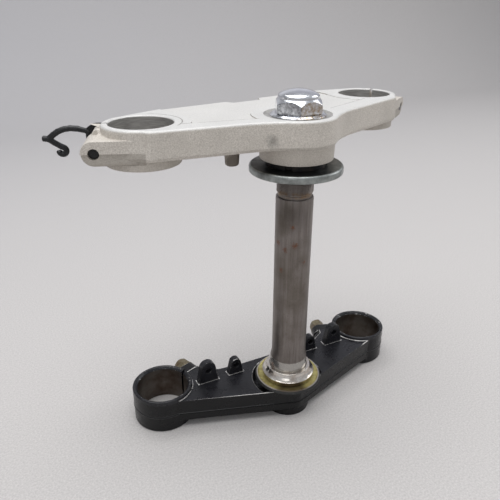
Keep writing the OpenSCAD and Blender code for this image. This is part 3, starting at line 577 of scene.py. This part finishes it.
painted_step_shadow = maths(
    tree, "MULTIPLY", ramp(tree, maths(tree, "MINIMUM", line, arc), *line_width, 0.0, 0.75),
    ramp(tree, clamp_z, *panel_face), ramp(tree, noise(tree, point, 5, 3), 0.3, 0.5, 0.45, 1.0))
silver = blend_colours(tree, painted_step_shadow, silver, linear("#5f5a52"))

# The ears are darker below their parting line, on their outer part.
parting_z, ear_foot_z = (0.2326, 0.2324), (0.2246, 0.2249)
ear_start_u, ear_root_v = (-0.003, -0.0027), (-0.016, -0.018)
from_ring = vector_maths(tree, "SUBTRACT", half, (fork_x, fork_y, 0))["Vector"]
ear_u, ear_v, ear_z = axes(tree, turned_about_z(tree, from_ring, -top_slit_angle))
below_parting = maths(
    tree, "MULTIPLY", ramp(tree, ear_z, *parting_z), ramp(tree, ear_u, *ear_start_u),
    ramp(tree, ear_v, *ear_root_v, 0.0, 0.5), ramp(tree, ear_z, *ear_foot_z))
silver = blend_colours(tree, below_parting, silver, linear("#857e74"))
# Painted shade: below the arms' underside the paint is darker and warmer.
painted_underside_shade = ramp(tree, clamp_z, *top_underside, 0.0, 0.3)
silver = blend_colours(tree, painted_underside_shade, silver, linear("#8d8478"))
tree.links.new(silver, bsdf.inputs["Base Color"])
roughened(tree, bsdf, grain, 0.22)

# Painted shade on the panel's step: the same paint, flat and darker grey.
step_shade_paint, tree, bsdf, point = new_material("silver_paint_shaded_in_step", Roughness=0.6)
two_tone(tree, bsdf, noise(tree, point, 2.5, 3), 0.3, 0.65, "#6f6a63", "#a39d94")

# Turned aluminium: a cool grey with faint tool marks round the bores.
machined, tree, bsdf, point = new_material("turned_aluminium", Metallic=0.6, Roughness=0.4)
marks = noise(tree, stretched(tree, point, (0.1, 0.1, 1.0)), 0.8, 3, 0.6)
two_tone(tree, bsdf, marks, 0.3, 0.7, "#8d8b88", "#b4b2ae")
roughened(tree, bsdf, marks, 0.03)

top_clamp = cad_copy("top_clamp", "top_clamp_casting")
round_edges(top_clamp, 0.3, 34)
for material in (silver_paint, machined, step_shade_paint):
    top_clamp.data.materials.append(material)
turn = Matrix.Rotation(top_turn, 2)
top_bores = [turn @ bore for bore in lower_bores]


def is_spot_face(face):
    """Whether a face belongs to the machined flat round the stem nut."""
    low_z, high_z, least_up, spot_r = 0.2445, 0.2452, 0.9, 0.0236
    return (
        low_z < face.center.z < high_z
        and face.normal.z > least_up
        and face.center.xy.length < spot_r
    )


def is_panel_border(face):
    """Whether a face belongs to the sunk panel's step and not to a rim."""
    low_z, high_z, most_up = 0.24515, 0.24575, 0.85
    ring_clearance_mm, boss_clearance_mm, right_ring_reach_mm = 26, 25, 33
    rim_start_x_mm, rim_start_y_mm, rim_slope = 31, 0.5, 0.288
    flat = Vector(face.center[:2])
    inward = turn.inverted() @ flat
    rim_y_mm = rim_start_y_mm + (abs(inward.x) / MM - rim_start_x_mm) * rim_slope
    return (
        low_z < face.center.z < high_z
        and face.normal.z < most_up
        and all((flat - bore).length > ring_clearance_mm * MM for bore in top_bores)
        and flat.length > boss_clearance_mm * MM
        and inward.y > rim_y_mm * MM
        and (flat - top_bores[1]).length >= right_ring_reach_mm * MM
    )


for face in top_clamp.data.polygons:
    if is_spot_face(face) or any(in_bore(bore, face) for bore in top_bores):
        face.material_index = 1
    elif is_panel_border(face):
        face.material_index = 2

# Stem washer and nut: a bright washer under a closed hexagon nut, both chrome plated steel.
# The nut holds the top clamp down on the stem.
nut_flat_reach = (0.0147, 0.01492)
flats_with_painted_reflection = (((0.087, -0.996, 0), "#a48d6d", 0.85), ((-0.819, -0.574, 0), "#66676b", 0.8))

# Chrome: mirrors the room with soft scratches, and two of the nut's flats carry a painted
# reflection, tan on the front one and dark grey on the front-left one.
chrome, tree, bsdf, point = new_material("bright_chrome", Metallic=1.0)
scratches = ramp(tree, noise(tree, point, 2.0, 5, 0.7), 0.4, 0.8, 0.12, 0.24)
tree.links.new(scratches, bsdf.inputs["Roughness"])
hazy = ramp(tree, noise(tree, point, 5, 2), 0.4, 0.8, 0.0, 0.4)
shine = blend_colours(tree, hazy, linear("#e6e8ec"), linear("#b9bbc2"))
streaked = ramp(tree, noise(tree, point, 3, 4, 0.65), 0.35, 0.6)
for facing, colour, share in flats_with_painted_reflection:
    painted_flat_reflection = ramp(tree, along(tree, point, facing), *nut_flat_reach, 0.0, share)
    shine = blend_colours(tree, maths(tree, "MULTIPLY", painted_flat_reflection, streaked), shine, linear(colour))
tree.links.new(shine, bsdf.inputs["Base Color"])
roughened(tree, bsdf, noise(tree, point, 7, 2), 0.02)
for node, name, edge_mm in (
    ("stem_nut", "chrome_cap_nut", 0.35),
    ("stem_washer", "chrome_washer", 0.2),
):
    part = cad_copy(node, name)
    round_edges(part, edge_mm, 25, 3)
    part.data.materials.append(chrome)

# Top pinch bolts and cable guide: flange bolts that close the top rings, and a hook bent from
# round steel rod and welded to an eye, which the left bolt holds.
eye_middle_mm, eye_r_mm, eye_reach_mm, eye_half_t_mm = (-124.534, 40.152, 232.5), 11.1, 8.5, 1.3

# Gloss black paint on steel: dark with crisp small highlights and a few grey scuffs.
black_steel, tree, bsdf, point = new_material("gloss_black_on_steel", Specular_IOR_Level=0.4)
scuffs = noise(tree, point, 2.4, 4, 0.65)
scuffed = ramp(tree, scuffs, 0.6, 0.72, 0.0, 0.4)
scuffed = blend_colours(tree, scuffed, linear("#101113"), linear("#46474a"))
tree.links.new(scuffed, bsdf.inputs["Base Color"])
tree.links.new(ramp(tree, scuffs, 0.4, 0.7, 0.22, 0.4), bsdf.inputs["Roughness"])
roughened(tree, bsdf, noise(tree, point, 1.5, 2), 0.05)

along_eye = math.pi - top_slit_angle + top_turn
eye_frame = Matrix((
    (math.cos(along_eye), math.sin(along_eye), 0, 0),
    (math.sin(along_eye), -math.cos(along_eye), 0, 0),
    (0, 0, 1, 0),
    (0, 0, 0, 1),
)) @ Matrix.Translation(Vector(eye_middle_mm) * -MM)
for node, name in (
    ("top_pinch_bolt_left", "top_flange_bolt_left"),
    ("top_pinch_bolt_right", "top_flange_bolt_right"),
    ("cable_guide", "cable_guide_hook"),
):
    part = cad_copy(node, name)
    if node == "cable_guide":
        # the eye's edge is pulled in where it would show beside the ear
        bpy.ops.object.mode_set(mode="OBJECT")
        for vertex in part.data.vertices:
            place = eye_frame @ vertex.co
            in_eye = place.xz.length < eye_r_mm * MM and abs(place.y) < eye_half_t_mm * MM
            if in_eye and place.x > eye_reach_mm * MM:
                place.x = eye_reach_mm * MM
                vertex.co = eye_frame.inverted() @ place
    round_edges(part, 0.3, 50)
    part.data.materials.append(black_steel)
